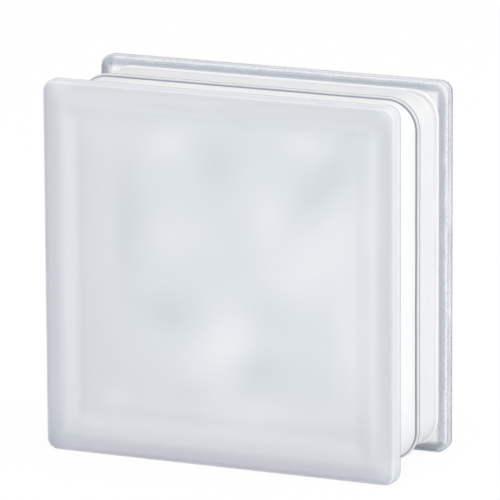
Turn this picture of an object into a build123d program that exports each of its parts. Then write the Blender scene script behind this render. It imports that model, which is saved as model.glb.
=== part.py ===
# Hollow pressed glass block: two dished halves fused along a seam into one closed piece of glass.
# It stands on its lower edge. X runs across it, Y through it from the satin face to the clear face,
# and Z up. The origin is the middle of the rectangle that it stands on. Millimetres and degrees.

from build123d import *

import os
from math import cos, pi, radians, sin, tan

# Outside of the block
block_width = 190.0
block_height = 190.0
block_depth = 80.0
face_edge_radius = 4.0

# Flange round each face. Its outer edge is a flat land, and its back is square to the land before
# it is bevelled down to a thicker root.
flange_thickness = 11.0
flange_root_thickness = 12.8
flange_corner_radius = 6.0
flange_back_width = 3.0
flange_back_radius = 2.5

# Mortar channel between the flanges, whose floor rises from their roots to the seam
channel_depth = 5.0
channel_rise_to_seam = 1.0
channel_foot_radius = 5.0
channel_corner_radius = 15.0

# Fused seam, a round-backed bead that stands out of the wall on both sides
seam_back_radius = 3.0
seam_proud_outside = 1.2
seam_proud_inside = 0.8

# Closed hollow, drafted so that each half leaves the plunger that presses it
wall_thickness_at_seam = 5.0
face_thickness = 8.5
cavity_draft = 5.0
cavity_edge_radius = 6.0

# Flowing waves on the inner side of both faces: meandering crests, crossed by a lower swell. Their
# panel thickens the glass and dies out into a flat frame, past whose level its edge would rise by
# the overlap. A bearing is the way that the crests follow one another, turned from level.
wave_panel_rise = 0.8
wave_panel_overlap = 0.4
wave_fade = 18.0
crest_height = 0.9
crest_pitch = 51.0
crest_meander = 10.0
crest_meander_length = 170.0
swell_height = 0.4
swell_pitch = 38.0
satin_face_wave_bearing = 0.0
clear_face_wave_bearing = 90.0
wave_point_spacing = 8.0
wave_fit = 0.03

mid_height = block_height / 2
satin_half = Plane(origin=(0, 0, mid_height), x_dir=(1, 0, 0), z_dir=(0, -1, 0))
clear_half = Plane(origin=(0, 0, mid_height), x_dir=(-1, 0, 0), z_dir=(0, 1, 0))

# Solid blank with the outline of the faces
with BuildPart() as blank:
    with BuildSketch(satin_half.offset(-block_depth / 2)):
        RectangleRounded(block_width, block_height, flange_corner_radius)
    extrude(amount=block_depth)
    for face in (blank.faces().sort_by(Axis.Y)[0], blank.faces().sort_by(Axis.Y)[-1]):
        fillet(face.edges(), face_edge_radius)

# Line of the seam on the channel's floor, which the channel and the bead follow round the block
floor_inset = channel_depth - channel_rise_to_seam
floor_width = block_width - 2 * floor_inset
floor_height = block_height - 2 * floor_inset
with BuildSketch(satin_half) as floor_outline:
    RectangleRounded(floor_width, floor_height, channel_corner_radius)
seam_line = floor_outline.sketch.face().outer_wire()
outward = Vector(0, 1, 0).cross(seam_line % 0)
across_seam = Plane(origin=seam_line @ 0, x_dir=outward, z_dir=seam_line % 0)

# Channel, in section a floor that falls to the roots of both flanges, a bevel and a flange back.
# Its mouth reaches past the corners of the flanges, which stand out furthest from the floor.
root_from_seam = block_depth / 2 - flange_root_thickness
back_from_seam = block_depth / 2 - flange_thickness
bevel_reach = floor_inset - flange_back_width
mouth_reach = channel_depth + channel_corner_radius
with BuildPart() as channel:
    with BuildSketch(across_seam) as channel_section:
        with BuildLine():
            Polyline(
                (0, 0),
                (-channel_rise_to_seam, root_from_seam),
                (bevel_reach, back_from_seam),
                (mouth_reach, back_from_seam),
                (mouth_reach, 0),
                close=True,
            )
        make_face()
        mirror(about=Plane.XZ)
        fillet(channel_section.vertices().group_by(Axis.X)[0], channel_foot_radius)
    sweep(path=seam_line)

# Seam bead, deep enough to show on both sides of the wall
bead_reach = seam_proud_outside + wall_thickness_at_seam + seam_proud_inside
with BuildPart() as seam:
    with BuildSketch(across_seam):
        with Locations((seam_proud_outside - bead_reach / 2, 0)):
            SlotOverall(bead_reach, 2 * seam_back_radius)
    sweep(path=seam_line)


# Height of the waves over their mean level, at one place on the inner side of a face
def wave_rise(across, up, bearing):
    along = across * cos(radians(bearing)) + up * sin(radians(bearing))
    aside = up * cos(radians(bearing)) - across * sin(radians(bearing))
    meander = crest_meander * sin(2 * pi * aside / crest_meander_length)
    crest = crest_height / 2 * cos(2 * pi * (along - meander) / crest_pitch)
    return crest + swell_height / 2 * cos(2 * pi * aside / swell_pitch)


# Share of the waves that is left at a distance from one side of their panel
def fade_in(from_side):
    return sin(pi / 2 * min(1, from_side / wave_fade)) ** 2


# Hollow of one half, pressed from the seam to the waves on the inner side of its face
def pressed_hollow(half_plane, bearing):
    width = floor_width - 2 * wall_thickness_at_seam
    height = floor_height - 2 * wall_thickness_at_seam
    corner_radius = channel_corner_radius - wall_thickness_at_seam
    depth = block_depth / 2 - face_thickness
    frame = depth * tan(radians(cavity_draft)) + cavity_edge_radius
    half_panel_width = width / 2 - frame
    half_panel_height = height / 2 - frame
    columns = round(2 * half_panel_width / wave_point_spacing)
    rows = round(2 * half_panel_height / wave_point_spacing)
    wave_points = []
    for column in range(columns + 1):
        across = half_panel_width * (2 * column / columns - 1)
        wave_points.append([])
        for row in range(rows + 1):
            up = half_panel_height * (2 * row / rows - 1)
            share = fade_in(half_panel_width - abs(across)) * fade_in(half_panel_height - abs(up))
            thickening = wave_panel_rise - wave_rise(across, up, bearing)
            level = depth + wave_panel_overlap - share * (wave_panel_overlap + thickening)
            wave_points[-1].append(half_plane.from_local_coords((across, up, level)))
    waves = Face.make_surface_from_array_of_points(wave_points, tol=wave_fit)
    with BuildPart() as hollow:
        with BuildSketch(half_plane):
            RectangleRounded(width, height, corner_radius)
        extrude(amount=depth)
        pressing_way = Axis(half_plane.origin, half_plane.z_dir)
        draft(hollow.faces().sort_by(pressing_way)[1:-1], half_plane, cavity_draft)
        fillet(hollow.faces().sort_by(pressing_way)[-1].edges(), cavity_edge_radius)
        extrude(waves, amount=face_thickness, dir=half_plane.z_dir, mode=Mode.SUBTRACT)
    return hollow.part


with BuildPart() as glass_block:
    add(blank.part)
    add(channel.part, mode=Mode.SUBTRACT)
    fillet(glass_block.edges(Select.NEW), flange_back_radius)
    add(pressed_hollow(satin_half, satin_face_wave_bearing), mode=Mode.SUBTRACT)
    add(pressed_hollow(clear_half, clear_face_wave_bearing), mode=Mode.SUBTRACT)
    add(seam.part)

glass_block.part.label = "glass_block"
os.makedirs("parts", exist_ok=True)
export_step(glass_block.part, "parts/glass_block.step")
print("glass_block", glass_block.part.is_valid, round(glass_block.part.volume))
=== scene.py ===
from math import acos, ceil, cos, exp, pi, radians, sin, tan

import bpy
from mathutils import Matrix, Vector, noise


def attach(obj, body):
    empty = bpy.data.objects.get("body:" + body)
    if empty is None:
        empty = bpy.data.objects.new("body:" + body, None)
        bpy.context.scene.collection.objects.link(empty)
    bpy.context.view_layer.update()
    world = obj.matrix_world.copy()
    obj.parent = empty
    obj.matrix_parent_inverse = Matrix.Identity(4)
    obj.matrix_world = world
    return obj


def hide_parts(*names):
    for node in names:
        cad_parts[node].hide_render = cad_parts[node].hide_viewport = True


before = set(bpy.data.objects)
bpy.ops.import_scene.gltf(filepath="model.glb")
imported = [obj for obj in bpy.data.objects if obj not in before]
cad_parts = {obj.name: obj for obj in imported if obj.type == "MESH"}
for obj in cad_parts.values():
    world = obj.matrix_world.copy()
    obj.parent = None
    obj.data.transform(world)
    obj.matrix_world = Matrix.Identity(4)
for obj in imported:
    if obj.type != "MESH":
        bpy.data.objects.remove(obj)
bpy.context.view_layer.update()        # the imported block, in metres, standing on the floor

print("frame loaded")

millimetre = 0.001
tiny = 0.01        # mm, within which two levels count as the same

# Sockets of a Mix node for colours, whose inputs share their names with those for other kinds
mixShare, mixUnder, mixOver, mixResult = 0, 6, 7, 2


# sRGB hex colour as the linear colour that Blender's sockets take
def linear(hexColour):
    shades = [int(hexColour[place:place + 2], 16) / 255 for place in (1, 3, 5)]
    return [s / 12.92 if s <= 0.04045 else ((s + 0.055) / 1.055) ** 2.4 for s in shades] + [1.0]


# Adds a node: settings are its own properties, sockets are values or the outputs that feed them
def addNode(tree, kind, sockets=None, **settings):
    node = tree.nodes.new(kind)
    for name, value in settings.items():
        setattr(node, name, value)
    for name, value in (sockets or {}).items():
        if isinstance(value, bpy.types.NodeSocket):
            tree.links.new(value, node.inputs[name])
        else:
            node.inputs[name].default_value = value
    return node


# The block of glass. Lengths in millimetres, angles in degrees, the same sizes as the CAD model.
glassBlock = {
    "width": 190.0,
    "height": 190.0,
    "depth": 80.0,
    "faceEdgeRadius": 4.0,
    "flangeThickness": 11.0,
    "flangeRootThickness": 12.8,
    "flangeCornerRadius": 6.0,
    "flangeBackWidth": 3.0,
    "flangeBackRadius": 2.5,
    "channelDepth": 5.0,
    "channelRiseToSeam": 1.0,
    "channelFootRadius": 5.0,
    "channelCornerRadius": 15.0,
    "seamBackRadius": 3.0,
    "seamProudOutside": 1.2,
    "seamProudInside": 0.8,
    "wallThicknessAtSeam": 5.0,
    "faceThickness": 8.5,
    "cavityDraft": 5.0,
    "cavityEdgeRadius": 6.0,
    "wavePanelRise": 0.8,
    "wavePanelOverlap": 0.4,
    "waveFade": 18.0,
    "crestHeight": 0.9,
    "crestPitch": 51.0,
    "crestMeander": 10.0,
    "crestMeanderLength": 170.0,
    "swellHeight": 0.4,
    "swellPitch": 38.0,
    "satinWaveBearing": 0.0,
    "clearWaveBearing": 90.0,
    "creaseRadius": 0.4,       # softening of the creases that the CAD model leaves sharp
    "cellsPerSide": 80,        # quads along one side of the block
    "cellsPerCorner": 12,      # of those, quads round one corner
    "arcStep": 15.0,           # degrees between rings on a rounded edge
    "longestStep": 5.0,        # between rings on a straight stretch
    "edgeGuard": 0.1,          # a ring this far from each rounding keeps the flats flat
    "tightestCorner": 3.0,     # the hollow's corners, where its rings grow small
    "seamBackRounding": 0.9,   # rounding of the bead's back, as a share of its radius
    "stippleFrom": 0.8,        # the clear flange's stipple starts this far from its back, in the channel
    "seamWander": 0.4,         # how far the fused seam strays from straight
    "seamWanderLength": 30.77,
    "seamWanderCourse": 4.03,  # picks one course for it out of the noise
    "seamWanderWhole": 2.0,    # the glass strays whole up to this far from the seam
    "seamWanderGone": 9.0,     # and not at all from here on
    "wallRipple": 0.06,        # unevenness that the mould leaves in the walls
    "wallRippleLength": 14.0,
    "wallRippleSqueeze": 1.6,  # how much closer its humps lie from face to face than round the block
    "wallRippleFade": 6.0,     # it dies out over this much before the flanges
    "wallFromMiddle": 90.0,    # about where the walls stand, which the ripple stretches outwards
}


# A line through corners, each (inset, level, radius), with its corners rounded and its runs divided
def roundedLine(corners, size):
    guard = size["edgeGuard"]
    line = []
    for place, (inset, level, radius) in enumerate(corners):
        here = Vector((inset, level))
        if place in (0, len(corners) - 1) or radius == 0:
            line.append(here)
            continue
        before = (Vector(corners[place - 1][:2]) - here).normalized()
        after = (Vector(corners[place + 1][:2]) - here).normalized()
        between = acos(max(-1, min(1, before.dot(after))))
        tangent = radius / tan(between / 2)
        centre = here + (before + after).normalized() * (radius / sin(between / 2))
        turn = pi - between
        steps = max(2, ceil(turn / radians(size["arcStep"])))
        start = here + before * tangent - centre
        side = 1 if before.x * start.y - before.y * start.x > 0 else -1
        line.append(here + before * (tangent + guard))
        for step in range(steps + 1):
            angle = side * turn * step / steps
            line.append(centre + Matrix.Rotation(angle, 2) @ start)
        line.append(here + after * (tangent + guard))
    divided = [line[0]]
    for point in line[1:]:
        run = point - divided[-1]
        parts = max(1, ceil(run.length / size["longestStep"]))
        start = divided[-1]
        divided += [start + run * (part / parts) for part in range(1, parts + 1)]
    return divided


# One ring of points round the block, from the middle of its lower left corner: (x, z) from its centre
def ring(halfWidth, halfHeight, radius, size):
    cells, cornerCells = size["cellsPerSide"], size["cellsPerCorner"]
    straightCells = cells - cornerCells
    points = []
    for side in range(4):
        alongHalf, asideHalf = (halfWidth, halfHeight) if side % 2 == 0 else (halfHeight, halfWidth)
        straight = alongHalf - radius
        sidePoints = []
        for cell in range(cornerCells // 2):
            angle = radians(45) * (1 - cell / (cornerCells / 2))
            sidePoints.append((-straight - radius * sin(angle), -asideHalf + radius - radius * cos(angle)))
        for cell in range(straightCells + 1):
            sidePoints.append((straight * (2 * cell / straightCells - 1), -asideHalf))
        for cell in range(1, cornerCells // 2):
            angle = radians(45) * cell / (cornerCells / 2)
            sidePoints.append((straight + radius * sin(angle), -asideHalf + radius - radius * cos(angle)))
        turned = Matrix.Rotation(radians(90) * side, 2)
        points += [turned @ Vector(point) for point in sidePoints]
    return points


# Height of the pressed waves over their mean level, as in the CAD model
def waveRise(across, up, bearing, size):
    along = across * cos(bearing) + up * sin(bearing)
    aside = up * cos(bearing) - across * sin(bearing)
    meander = size["crestMeander"] * sin(2 * pi * aside / size["crestMeanderLength"])
    crest = size["crestHeight"] / 2 * cos(2 * pi * (along - meander) / size["crestPitch"])
    return crest + size["swellHeight"] / 2 * cos(2 * pi * aside / size["swellPitch"])


# Skin made of rings, closed at both ends by a grid that a function may press waves into
class Skin:
    def __init__(self, size, inwards):
        self.size = size
        self.inwards = inwards
        self.vertices = []
        self.faces = []
        self.parts = []

    def addFace(self, corners, part):
        self.faces.append(corners[::-1] if self.inwards else corners)
        self.parts.append(part)

    def addRing(self, points, level):
        first = len(self.vertices)
        self.vertices += [(x, level, z) for x, z in points]
        return first

    def joinRings(self, first, second, count, part):
        for place in range(count):
            after = (place + 1) % count
            self.addFace((first + place, first + after, second + after, second + place), part)

    # Grid inside a ring, whose places blend from the four sides
    def fillRing(self, first, points, level, rise, part, facesBack):
        cells = self.size["cellsPerSide"]
        rows = [[None] * (cells + 1) for _ in range(cells + 1)]
        for row in range(cells + 1):
            for column in range(cells + 1):
                if row == 0:
                    edge = column
                elif column == cells:
                    edge = cells + row
                elif row == cells:
                    edge = 3 * cells - column
                elif column == 0:
                    edge = 4 * cells - row
                else:
                    edge = None
                if edge is not None:
                    rows[row][column] = first + edge
                    continue
                u, v = column / cells, row / cells
                low, high = points[column], points[3 * cells - column]
                left, right = points[4 * cells - row], points[cells + row]
                blend = low * (1 - v) + high * v + left * (1 - u) + right * u
                blend -= points[0] * (1 - u) * (1 - v) + points[cells] * u * (1 - v)
                blend -= points[2 * cells] * u * v + points[3 * cells] * (1 - u) * v
                rows[row][column] = len(self.vertices)
                self.vertices.append((blend.x, level + rise(blend.x, blend.y), blend.y))
        for row in range(cells):
            for column in range(cells):
                corners = (rows[row][column], rows[row][column + 1],
                           rows[row + 1][column + 1], rows[row + 1][column])
                self.addFace(corners[::-1] if facesBack else corners, part)


def flat(across, up):
    return 0.0


# Half of the fused seam's section, two corners of a line: its toe on a wall and the middle of its back
def beadCorners(wallInset, proud, outwards, size):
    radius = size["seamBackRadius"]
    halfWidth = (radius ** 2 - (radius - proud) ** 2) ** 0.5
    apex = halfWidth ** 2 / (radius - proud)
    toe = (wallInset, halfWidth, size["creaseRadius"])
    return [toe, (wallInset - outwards * apex, 0, size["seamBackRounding"] * radius)]


def smoothStep(value, low, high):
    share = min(1.0, max(0.0, (value - low) / (high - low)))
    return share * share * (3 - 2 * share)


# Outer skin: satin face, flange, mortar channel with its seam bead, flange, clear face
def outerSkin(size):
    skin = Skin(size, inwards=False)
    halfDepth = size["depth"] / 2
    flangeBack = halfDepth - size["flangeThickness"]
    seamInset = size["channelDepth"] - size["channelRiseToSeam"]
    faceInset = size["faceEdgeRadius"] + 2 * size["edgeGuard"]
    half = [
        (faceInset, halfDepth, 0),
        (0, halfDepth, size["faceEdgeRadius"]),
        (0, flangeBack, size["flangeBackRadius"]),
        (size["flangeBackWidth"], flangeBack, size["creaseRadius"]),
        (size["channelDepth"], halfDepth - size["flangeRootThickness"], size["channelFootRadius"]),
    ] + beadCorners(seamInset, size["seamProudOutside"], 1, size)
    corners = [(inset, -level, radius) for inset, level, radius in half] + half[-2::-1]
    previous = None
    for inset, level in roundedLine(corners, size):
        channelRadius = size["channelCornerRadius"] + seamInset - inset
        if abs(level) > flangeBack + size["flangeBackRadius"]:
            cornerRadius = size["flangeCornerRadius"] - inset
        elif abs(level) < flangeBack - tiny:
            cornerRadius = channelRadius
        else:
            share = smoothStep(inset, 0.0, size["channelDepth"])
            cornerRadius = size["flangeCornerRadius"] * (1 - share) + channelRadius * share
        points = ring(size["width"] / 2 - inset, size["height"] / 2 - inset, cornerRadius, size)
        first = skin.addRing(points, level)
        if level < -flangeBack:
            part = "satin"
        else:
            part = "skin" if level < flangeBack - size["stippleFrom"] else "flange"
        if previous is None:
            skin.fillRing(first, points, level, flat, "satin", facesBack=False)
        else:
            skin.joinRings(first, previous, len(points), part)
        previous = first
    skin.fillRing(previous, points, level, flat, "clear", facesBack=True)
    return skin


# Inner skin: the hollow between the two faces, whose ends carry the waves
def innerSkin(size):
    skin = Skin(size, inwards=True)
    halfInside = size["depth"] / 2 - size["faceThickness"]
    seamInset = size["channelDepth"] - size["channelRiseToSeam"] + size["wallThicknessAtSeam"]
    endInset = seamInset + halfInside * tan(radians(size["cavityDraft"]))
    panelInset = endInset + size["cavityEdgeRadius"]
    half = [
        (panelInset + 2 * size["edgeGuard"], halfInside, 0),
        (endInset, halfInside, size["cavityEdgeRadius"]),
    ] + beadCorners(seamInset, size["seamProudInside"], -1, size)
    corners = [(inset, -level, radius) for inset, level, radius in half] + half[-2::-1]
    seamCornerRadius = size["channelCornerRadius"] - size["wallThicknessAtSeam"]

    def fadeIn(fromSide):
        return sin(pi / 2 * max(0.0, min(1.0, fromSide / size["waveFade"]))) ** 2

    def waves(bearing, outwards, mirrored):
        def rise(x, z):
            share = fadeIn(size["width"] / 2 - panelInset - abs(x))
            share *= fadeIn(size["height"] / 2 - panelInset - abs(z))
            thickening = size["wavePanelRise"] - waveRise(-x if mirrored else x, z, radians(bearing), size)
            overlap = size["wavePanelOverlap"]
            return -outwards * max(0.0, share * (overlap + thickening) - overlap)
        return rise

    satinWaves = waves(size["satinWaveBearing"], outwards=-1, mirrored=False)
    clearWaves = waves(size["clearWaveBearing"], outwards=1, mirrored=True)
    previous = None
    for inset, level in roundedLine(corners, size):
        cornerRadius = max(size["tightestCorner"], seamCornerRadius + seamInset - inset)
        points = ring(size["width"] / 2 - inset, size["height"] / 2 - inset, cornerRadius, size)
        first = skin.addRing(points, level)
        if previous is None:
            skin.fillRing(first, points, level, satinWaves, "clear", facesBack=False)
        else:
            skin.joinRings(first, previous, len(points), "clear")
        previous = first
    skin.fillRing(previous, points, level, clearWaves, "clear", facesBack=True)
    return skin


# Lets the walls ripple and the seam wander, as hot pressed glass does; faces and lands stay true
def unevenPlace(x, y, z, size):
    flangeBack = size["depth"] / 2 - size["flangeThickness"]
    inChannel = 1 - smoothStep(abs(y), flangeBack - size["wallRippleFade"], flangeBack)
    if inChannel == 0:
        return x, y, z
    course = Vector((x, z)) / size["seamWanderLength"]
    wander = size["seamWander"] * noise.noise(Vector((course.x, course.y, size["seamWanderCourse"])))
    nearSeam = 1 - smoothStep(abs(y), size["seamWanderWhole"], size["seamWanderGone"])
    place = Vector((x, size["wallRippleSqueeze"] * y, z)) / size["wallRippleLength"]
    ripple = size["wallRipple"] * noise.noise(place)
    outwards = 1 + inChannel * ripple / size["wallFromMiddle"]
    return x * outwards, y + nearSeam * wander, z * outwards


# Painted shade and painted light in soft patches, where the pressed waves bend the light through the
# satin face. In mm from its middle: across, up, half length, half width, turn from level, strength
# (lighter below 0).
paintedWaveShadePatches = [
    (-63, 72, 20, 12, -20, -0.45),
    (-48, 22, 23, 10, 90, 0.35),
    (1, 60, 17, 12, 90, 0.35),
    (58, 54, 24, 10, 54, 0.45),
    (-25, -18, 20, 11, -8, 0.4),
    (27, -13, 12, 12, 0, 0.4),
    (22, -42, 14, 11, 60, 0.5),
    (-48, -57, 14, 11, 0, 0.15),
    (-16, -58, 16, 10, 8, 0.2),
    (52, -45, 18, 12, 0, 0.1),
    (5, -32, 24, 18, 45, -0.7),
    (57, 20, 38, 17, 47, -0.65),
    (28, 35, 17, 12, 90, -0.4),
    (-25, 68, 14, 9, 0, -0.4),
    (48, 73, 14, 9, 0, -0.4),
    (-22, 23, 18, 12, 20, -0.3),
    (72, -20, 34, 10, 90, -0.5),
    (-70, 0, 100, 27, 90, -0.5),
    (0, -75, 110, 25, 0, -0.5),
    (-90, -88, 14, 14, 0, 0.8),
    (-56, -65, 9, 9, 0, -0.45),
    (-59, 25, 45, 7, 90, -0.3),
    (20, -68, 26, 9, 0, -0.35),
]


# How dark the painted wave shade is at one place of the satin face, from -1, painted light, to 1
def paintedWaveShadeAt(across, up):
    total = 0.0
    for middleAcross, middleUp, length, width, turn, strength in paintedWaveShadePatches:
        there = Matrix.Rotation(-radians(turn), 2) @ Vector((across - middleAcross, up - middleUp))
        total += strength * exp(-(there.x / length) ** 2 - (there.y / width) ** 2)
    return max(-1.0, min(1.0, total))


# Painted shade and painted light round the rim of the satin face, where the flange behind it shades
# the light: darker at the very edge on the left and at the bottom, lighter along the top and the right,
# with lighter and darker bands further in. Bands from each side inwards, in mm: side, start, end,
# softness, strength (lighter below 0).
paintedRimBands = [
    ("left", 0, 6, 4, 0.3),
    ("left", 13, 17, 4, -0.9),
    ("left", 19, 22, 3, 0.1),
    ("bottom", 0, 5, 6, 0.35),
    ("bottom", 12, 19, 5, -0.5),
    ("top", 0, 12, 3, -0.5),
    ("top", 12.5, 14, 2, 0.2),
    ("right", 0, 11, 3, -0.5),
    ("right", 16.5, 18.5, 2, 0.15),
]
paintedRimCornerBlend = 6.0        # mm, half the stretch over which one side's bands give way to the next's


# How strong the painted rim shade is at one place of the satin face, from -1, painted light, to 1
def paintedRimShadeAt(across, up, size):
    fromSide = {
        "left": size["width"] / 2 + across,
        "right": size["width"] / 2 - across,
        "bottom": size["height"] / 2 + up,
        "top": size["height"] / 2 - up,
    }
    total = 0.0
    for side, start, end, soft, strength in paintedRimBands:
        distance = fromSide[side]
        lengthwise = min(value for name, value in fromSide.items() if name != side)
        runsOn = start == 0 and strength > 0        # a painted dark edge runs on into the corners
        corner = 1 if runsOn else smoothStep(lengthwise - distance, -paintedRimCornerBlend, paintedRimCornerBlend)
        inBand = smoothStep(distance, start - soft, start) if start > 0 else 1
        total += strength * inBand * (1 - smoothStep(distance, end, end + soft)) * corner
    return max(-1.0, min(1.0, total))


# One value at each point of the mesh, for its materials
def addValues(mesh, name, values):
    attribute = mesh.attributes.new(name, "FLOAT", "POINT")
    attribute.data.foreach_set("value", values)


def makeGlassBlock(size, materials):
    vertices, faces, parts, levels = [], [], [], []
    for skin in (outerSkin(size), innerSkin(size)):
        start = len(vertices)
        levels += [y for x, y, z in skin.vertices]
        vertices += [unevenPlace(x, y, z, size) for x, y, z in skin.vertices]
        faces += [tuple(start + corner for corner in face) for face in skin.faces]
        parts += skin.parts
    middle = size["height"] / 2
    places = [(x * millimetre, y * millimetre, (z + middle) * millimetre) for x, y, z in vertices]
    mesh = bpy.data.meshes.new("pressed_block")
    mesh.from_pydata(places, [], faces)
    face = tiny - size["depth"] / 2
    satinBack = size["flangeThickness"] - size["depth"] / 2
    addValues(mesh, "paintedWaveShade", [paintedWaveShadeAt(x, z) if y < face else 0.0 for x, y, z in vertices])
    addValues(mesh, "paintedRimShadeAndLight", [paintedRimShadeAt(x, z, size) if y < satinBack else 0.0 for x, y, z in vertices])
    addValues(mesh, "fromSeam", levels)
    addValues(mesh, "fromSide", [min(size["width"] / 2 - abs(x), size["height"] / 2 - abs(z))
                                 for x, y, z in vertices])
    finishes = ("clear", "satin", "skin", "flange")
    for name in finishes:
        mesh.materials.append(materials[name])
    for polygon, part in zip(mesh.polygons, parts):
        polygon.material_index = finishes.index(part)
        polygon.use_smooth = True
    mesh.validate()
    block = bpy.data.objects.new("pressed_block", mesh)
    bpy.context.scene.collection.objects.link(block)
    return block


# Soda-lime glass pressed in an iron mould and fire polished: clear and colourless
clearGlass = {
    "tint": "#FDFEFE",
    "ior": 1.52,
    "clearShare": 1.0,
    "roughness": 0.02,
}

# The same glass etched with acid: a fine matt skin that spreads the light and hides what is behind
satinGlass = {
    "tint": "#DDE2E4",
    "paintedWaveShadeAndLight": ("#BDC6C8", "#F4F3F4"),       # painted wave shade and painted wave light
    # painted shade and painted light round the rim
    "paintedRimShadeAndLight": ("#CAC7D6", "#FAFDFF"),
    "paintedShadeAndHighlightLines": (                  # mm from the seam to a line's middle, its half width, its colour
        (-31.0, 1.4, "#A4AAB8"),            # painted shade round the back of the satin flange
        (-38.4, 0.9, "#FFFFFF"),            # painted highlight on the rounding of the face's edge
    ),
    "ior": 1.52,
    "clearShare": 0.42,         # what goes through, the rest is spread by the etched skin
    "roughness": 0.65,
    "roughnessSpread": 0.05,
    "mottleSize": 9.0,          # mm
    "sheenShare": 0.3,          # faint sheen that glints on the rounded edges
    "sheenRoughness": 0.22,
}

# Glass in the mortar channel keeps the dull whitish skin of the mould's join, with painted shade in
# fine lines where the fused seam bends the light away
channelGlass = {
    "tint": "#F4F4F3",
    "paintedShadeAndHighlightLines": (                  # mm from the seam to a line's middle, its half width, its colour
        (-2.2, 0.8, "#7F8894"),
        (0.0, 0.9, "#7F8894"),
        (2.2, 0.8, "#7F8894"),
    ),
    "ior": 1.52,
    "clearShare": 0.4,
    "roughness": 0.4,
}

# Thick glass of the clear flange: painted shade and painted highlights in bands where it bends the
# light, and a stipple that the mould's wall leaves in it
flangeGlass = {
    "ior": 1.52,
    "clearShare": 0.5,
    "roughness": 0.2,
    "paintedShadeAndHighlightBands": (                  # mm from the seam, colour
        # painted shade on the flange's back and near its outer edge, a painted highlight after the back's
        # rounding
        (28.2, "#AEB4BE"),
        (29.0, "#B2B8C1"),
        (29.3, "#BCC1C9"),
        (29.8, "#E4E7EA"),
        (30.2, "#E4E7EA"),
        (30.9, "#D0D4DA"),
        (32.4, "#F6F7F9"),
        (33.6, "#DCE0E5"),
        (34.8, "#E8EBEF"),
        (35.5, "#98A1AD"),
        (37.2, "#8E98A5"),
        (38.2, "#CED3DA"),
    ),
    "bandWander": 0.2,          # how far the bands stray, mm
    "bandWanderSize": 9.0,      # mm
    "bandReach": 4.0,           # the bands end this far from the side of the flange, mm
    "bandEndSoftness": 1.8,     # mm
    "speck": "#98A0AB",
    "speckShare": 0.35,
    "speckFrom": 0.54,          # height in the stipple, from 0 to 1, where the specks start
    "speckTo": 0.62,            # and where they are darkest
    "stippleSize": 0.9,         # mm, about as fine as the render can show
    "stippleHeight": 0.05,      # mm
}

noiseLow, noiseHigh = 0.3, 0.7      # most of a noise texture's values lie between these


def newMaterial(name):
    material = bpy.data.materials.new(name)
    material.use_nodes = True
    material.node_tree.nodes.clear()
    return material, material.node_tree


# Glass with the constants of one look, and with what the material's own nodes feed it
def glassBody(tree, look, sockets):
    shader = addNode(tree, "ShaderNodeBsdfPrincipled", {
        "IOR": look["ior"],
        "Transmission Weight": look["clearShare"],
        "Roughness": look["roughness"],
        **sockets,
    })
    addNode(tree, "ShaderNodeOutputMaterial", {"Surface": shader.outputs["BSDF"]})


def pressedClearGlass():
    material, tree = newMaterial("firePolishedSodaLimeGlass")
    glassBody(tree, clearGlass, {"Base Color": linear(clearGlass["tint"])})
    return material


# Turns a colour darker where a value of the mesh goes from 0 to 1, and lighter where it goes to -1
def shadeBy(tree, valueName, colour, darkAndLight):
    value = addNode(tree, "ShaderNodeAttribute", attribute_name=valueName)
    for end, shade in zip((1.0, -1.0), darkAndLight):
        share = addNode(tree, "ShaderNodeMapRange", {"Value": value.outputs["Fac"], "From Max": end})
        mix = addNode(tree, "ShaderNodeMix", {
            mixShare: share.outputs["Result"],
            mixUnder: colour,
            mixOver: linear(shade),
        }, data_type="RGBA")
        colour = mix.outputs[mixResult]
    return colour


# Paints soft lines of shade and highlight round the block over a colour
def paintShadeAndHighlightLines(tree, colour, paintedShadeAndHighlightLines):
    level = addNode(tree, "ShaderNodeAttribute", attribute_name="fromSeam")
    for middle, halfWidth, lineColour in paintedShadeAndHighlightLines:
        off = addNode(tree, "ShaderNodeMath", {0: level.outputs["Fac"], 1: middle}, operation="SUBTRACT")
        apart = addNode(tree, "ShaderNodeMath", {0: off.outputs[0]}, operation="ABSOLUTE")
        share = addNode(tree, "ShaderNodeMapRange", {
            "Value": apart.outputs[0],
            "From Max": halfWidth,
            "To Min": 1.0,
            "To Max": 0.0,
        }, interpolation_type="SMOOTHSTEP")
        mix = addNode(tree, "ShaderNodeMix", {
            mixShare: share.outputs["Result"],
            mixUnder: colour,
            mixOver: linear(lineColour),
        }, data_type="RGBA")
        colour = mix.outputs[mixResult]
    return colour


# Colour along a length, from stops of a length and a colour
def coloursAlong(tree, length, stops):
    start, end = stops[0][0], stops[-1][0]
    share = addNode(tree, "ShaderNodeMapRange", {"Value": length, "From Min": start, "From Max": end})
    ramp = addNode(tree, "ShaderNodeValToRGB", {"Fac": share.outputs["Result"]})
    elements = ramp.color_ramp.elements
    elements[0].color = linear(stops[0][1])
    elements[1].color = linear(stops[-1][1])
    for stop, colour in stops[1:-1]:
        elements.new((stop - start) / (end - start)).color = linear(colour)
    return ramp.outputs["Color"]


def channelSkin():
    material, tree = newMaterial("mouldSkinSodaLimeGlass")
    lined = paintShadeAndHighlightLines(tree, linear(channelGlass["tint"]), channelGlass["paintedShadeAndHighlightLines"])
    glassBody(tree, channelGlass, {"Base Color": lined})
    return material


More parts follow.
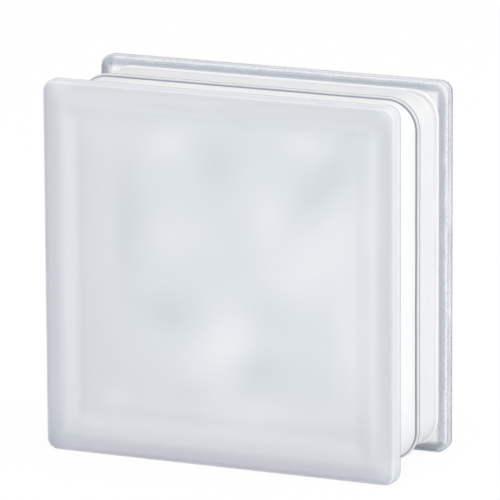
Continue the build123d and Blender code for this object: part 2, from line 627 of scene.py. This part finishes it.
def stippledFlangeGlass():
    material, tree = newMaterial("stippledSodaLimeGlass")
    place = addNode(tree, "ShaderNodeTexCoord")
    stipple = addNode(tree, "ShaderNodeTexNoise", {
        "Vector": place.outputs["Object"],
        "Scale": 1 / (flangeGlass["stippleSize"] * millimetre),
        "Detail": 1.0,
    })
    relief = addNode(tree, "ShaderNodeBump", {
        "Height": stipple.outputs["Fac"],
        "Strength": 1.0,
        "Distance": flangeGlass["stippleHeight"] * millimetre,
    })
    drift = addNode(tree, "ShaderNodeTexNoise", {
        "Vector": place.outputs["Object"],
        "Scale": 1 / (flangeGlass["bandWanderSize"] * millimetre),
        "Detail": 3.0,
    })
    wander = addNode(tree, "ShaderNodeMapRange", {
        "Value": drift.outputs["Fac"],
        "From Min": noiseLow,
        "From Max": noiseHigh,
        "To Min": -flangeGlass["bandWander"],
        "To Max": flangeGlass["bandWander"],
    })
    level = addNode(tree, "ShaderNodeAttribute", attribute_name="fromSeam")
    strayed = addNode(tree, "ShaderNodeMath", {
        0: level.outputs["Fac"],
        1: wander.outputs["Result"],
    }, operation="ADD")
    specks = addNode(tree, "ShaderNodeMapRange", {
        "Value": stipple.outputs["Fac"],
        "From Min": flangeGlass["speckFrom"],
        "From Max": flangeGlass["speckTo"],
        "To Max": flangeGlass["speckShare"],
    })
    specked = addNode(tree, "ShaderNodeMix", {
        mixShare: specks.outputs["Result"],
        mixUnder: coloursAlong(tree, strayed.outputs[0], flangeGlass["paintedShadeAndHighlightBands"]),
        mixOver: linear(flangeGlass["speck"]),
    }, data_type="RGBA")
    fromSide = addNode(tree, "ShaderNodeAttribute", attribute_name="fromSide")
    pastBands = addNode(tree, "ShaderNodeMapRange", {
        "Value": fromSide.outputs["Fac"],
        "From Min": flangeGlass["bandReach"],
        "From Max": flangeGlass["bandReach"] + flangeGlass["bandEndSoftness"],
    })
    ended = addNode(tree, "ShaderNodeMix", {
        mixShare: pastBands.outputs["Result"],
        mixUnder: specked.outputs[mixResult],
        mixOver: linear(channelGlass["tint"]),
    }, data_type="RGBA")
    glassBody(tree, flangeGlass, {
        "Normal": relief.outputs["Normal"],
        "Base Color": ended.outputs[mixResult],
    })
    return material


def etchedSatinGlass():
    material, tree = newMaterial("acidEtchedSodaLimeGlass")
    place = addNode(tree, "ShaderNodeTexCoord")
    mottle = addNode(tree, "ShaderNodeTexNoise", {
        "Vector": place.outputs["Object"],
        "Scale": 1 / (satinGlass["mottleSize"] * millimetre),
        "Detail": 3.0,
    })
    rough = addNode(tree, "ShaderNodeMapRange", {
        "Value": mottle.outputs["Fac"],
        "From Min": noiseLow,
        "From Max": noiseHigh,
        "To Min": satinGlass["roughness"] - satinGlass["roughnessSpread"],
        "To Max": satinGlass["roughness"] + satinGlass["roughnessSpread"],
    })
    waveShadePainted = shadeBy(tree, "paintedWaveShade", linear(satinGlass["tint"]), satinGlass["paintedWaveShadeAndLight"])
    rimShadePainted = shadeBy(tree, "paintedRimShadeAndLight", waveShadePainted, satinGlass["paintedRimShadeAndLight"])
    glassBody(tree, satinGlass, {
        "Roughness": rough.outputs["Result"],
        "Base Color": paintShadeAndHighlightLines(tree, rimShadePainted, satinGlass["paintedShadeAndHighlightLines"]),
        "Coat Weight": satinGlass["sheenShare"],
        "Coat Roughness": satinGlass["sheenRoughness"],
    })
    return material


materials = {
    "clear": pressedClearGlass(),
    "satin": etchedSatinGlass(),
    "skin": channelSkin(),
    "flange": stippledFlangeGlass(),
}
print("glass materials made")

block = makeGlassBlock(glassBlock, materials)
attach(block, "root")
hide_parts("glass_block")
print("pressed block made:", len(block.data.polygons), "faces")

# White sweep that the block stands on. Camera, mirror and glass rays see it nearly white, with the
# block's shadow; other rays see a pale matt floor.
studio = {
    "floorSize": 8.0,           # m
    "floorColour": "#F4F5F6",
    "floorWhite": 0.93,         # share of plain white in what the camera and the glass see
    "plainWhite": "#FFFFFF",    # backdrop that the camera sees, and the white in the floor
    "skyBright": "#FFFFFF",     # what the glass sees behind the block and to its right
    "skyDull": "#DCDDE8",       # and on the camera's side and to its left
    "brightWay": (0.45, 0.85, 0.28),
    "brightFrom": -0.7,         # cosine between a direction and that way where the sky is dullest
    "brightTo": 0.3,            # and where it is brightest
    "skyStrength": 1.0,
}


def makeFloor():
    material, tree = newMaterial("mattWhiteSweep")
    path = addNode(tree, "ShaderNodeLightPath")
    seen = path.outputs["Is Camera Ray"]
    for ray in ("Is Glossy Ray", "Is Transmission Ray"):
        either = addNode(tree, "ShaderNodeMath", {0: seen, 1: path.outputs[ray]}, operation="MAXIMUM")
        seen = either.outputs[0]
    share = addNode(tree, "ShaderNodeMath", {0: seen, 1: studio["floorWhite"]}, operation="MULTIPLY")
    matt = addNode(tree, "ShaderNodeBsdfDiffuse", {"Color": linear(studio["floorColour"])})
    white = addNode(tree, "ShaderNodeEmission", {"Color": linear(studio["plainWhite"])})
    mixed = addNode(tree, "ShaderNodeMixShader", {
        0: share.outputs[0],
        1: matt.outputs[0],
        2: white.outputs[0],
    })
    addNode(tree, "ShaderNodeOutputMaterial", {"Surface": mixed.outputs[0]})
    half = studio["floorSize"] / 2
    mesh = bpy.data.meshes.new("sweep")
    corners = [(-half, -half, 0), (half, -half, 0), (half, half, 0), (-half, half, 0)]
    mesh.from_pydata(corners, [], [(0, 1, 2, 3)])
    mesh.materials.append(material)
    floor = bpy.data.objects.new("sweep", mesh)
    bpy.context.scene.collection.objects.link(floor)
    return floor


def makeSky():
    world = bpy.data.worlds.new("studioRoom")
    world.use_nodes = True
    tree = world.node_tree
    tree.nodes.clear()
    path = addNode(tree, "ShaderNodeLightPath")
    place = addNode(tree, "ShaderNodeTexCoord")
    towards = addNode(tree, "ShaderNodeVectorMath", {
        0: place.outputs["Generated"],
        1: studio["brightWay"],
    }, operation="DOT_PRODUCT")
    bright = addNode(tree, "ShaderNodeMapRange", {
        "Value": towards.outputs["Value"],
        "From Min": studio["brightFrom"],
        "From Max": studio["brightTo"],
    }, interpolation_type="SMOOTHSTEP")
    room = addNode(tree, "ShaderNodeMix", {
        mixShare: bright.outputs["Result"],
        mixUnder: linear(studio["skyDull"]),
        mixOver: linear(studio["skyBright"]),
    }, data_type="RGBA")
    seen = addNode(tree, "ShaderNodeMix", {
        mixShare: path.outputs["Is Camera Ray"],
        mixUnder: room.outputs[mixResult],
        mixOver: linear(studio["plainWhite"]),
    }, data_type="RGBA")
    glow = addNode(tree, "ShaderNodeBackground", {
        "Color": seen.outputs[mixResult],
        "Strength": studio["skyStrength"],
    })
    addNode(tree, "ShaderNodeOutputWorld", {"Surface": glow.outputs[0]})
    bpy.context.scene.world = world


floor = makeFloor()
makeSky()
print("floor and sky made")

# Soft boxes. Places in metres from the block's middle.
softBoxes = {
    "overhead": {"place": (0.3, -0.2, 1.4), "size": 1.0, "watts": 4.5},
    "right": {"place": (1.5, 0.35, 0.5), "size": 1.0, "watts": 7.5},
    "left": {"place": (-1.0, -1.3, 0.3), "size": 1.0, "watts": 5.0},
}


def makeLamps(middle):
    for name, box in softBoxes.items():
        lamp = bpy.data.lights.new(name, "AREA")
        lamp.shape = "SQUARE"
        lamp.size = box["size"]
        lamp.energy = box["watts"]
        holder = bpy.data.objects.new(name, lamp)
        holder.location = middle + Vector(box["place"])
        holder.rotation_euler = (-Vector(box["place"])).to_track_quat("-Z", "Y").to_euler()
        bpy.context.scene.collection.objects.link(holder)


# Long lens, a little to the right of the satin face and above it
cameraSetup = {
    "azimuth": 23.9,            # degrees, from square on to the satin face towards the right
    "elevation": 13.2,
    "roll": -0.3,
    "distance": 3.04,           # m
    "aimRight": 0.00065,        # m, how far to the right of the block's middle it looks
    "aimUp": 0.00786,
    "pixelsFocal": 6080.0,      # focal length in pixels of the square frame
    "framePixels": 500,
    "sensor": 36.0,             # mm
    "clipEnd": 50.0,            # m
}


def makeCamera(middle):
    setup = cameraSetup
    azimuth, elevation, roll = (radians(setup[name]) for name in ("azimuth", "elevation", "roll"))
    back = Vector((sin(azimuth) * cos(elevation), -cos(azimuth) * cos(elevation), sin(elevation)))
    right = Vector((cos(azimuth), sin(azimuth), 0))
    up = back.cross(right)
    right, up = cos(roll) * right + sin(roll) * up, cos(roll) * up - sin(roll) * right
    lens = bpy.data.cameras.new("camera")
    lens.sensor_width = setup["sensor"]
    lens.lens = setup["pixelsFocal"] * setup["sensor"] / setup["framePixels"]
    lens.clip_end = setup["clipEnd"]
    camera = bpy.data.objects.new("camera", lens)
    turn = Matrix((right, up, back)).transposed()
    camera.matrix_world = turn.to_4x4()
    camera.location = middle + back * setup["distance"] + right * setup["aimRight"] + up * setup["aimUp"]
    bpy.context.scene.collection.objects.link(camera)
    bpy.context.scene.camera = camera


middle = Vector((0, 0, glassBlock["height"] / 2 * millimetre))
makeLamps(middle)
makeCamera(middle)

scene = bpy.context.scene
scene.view_settings.view_transform = "Standard"
scene.cycles.max_bounces = 40
scene.cycles.transmission_bounces = 40
scene.cycles.glossy_bounces = 16
scene.cycles.use_denoising = True
print("lamps and camera placed")
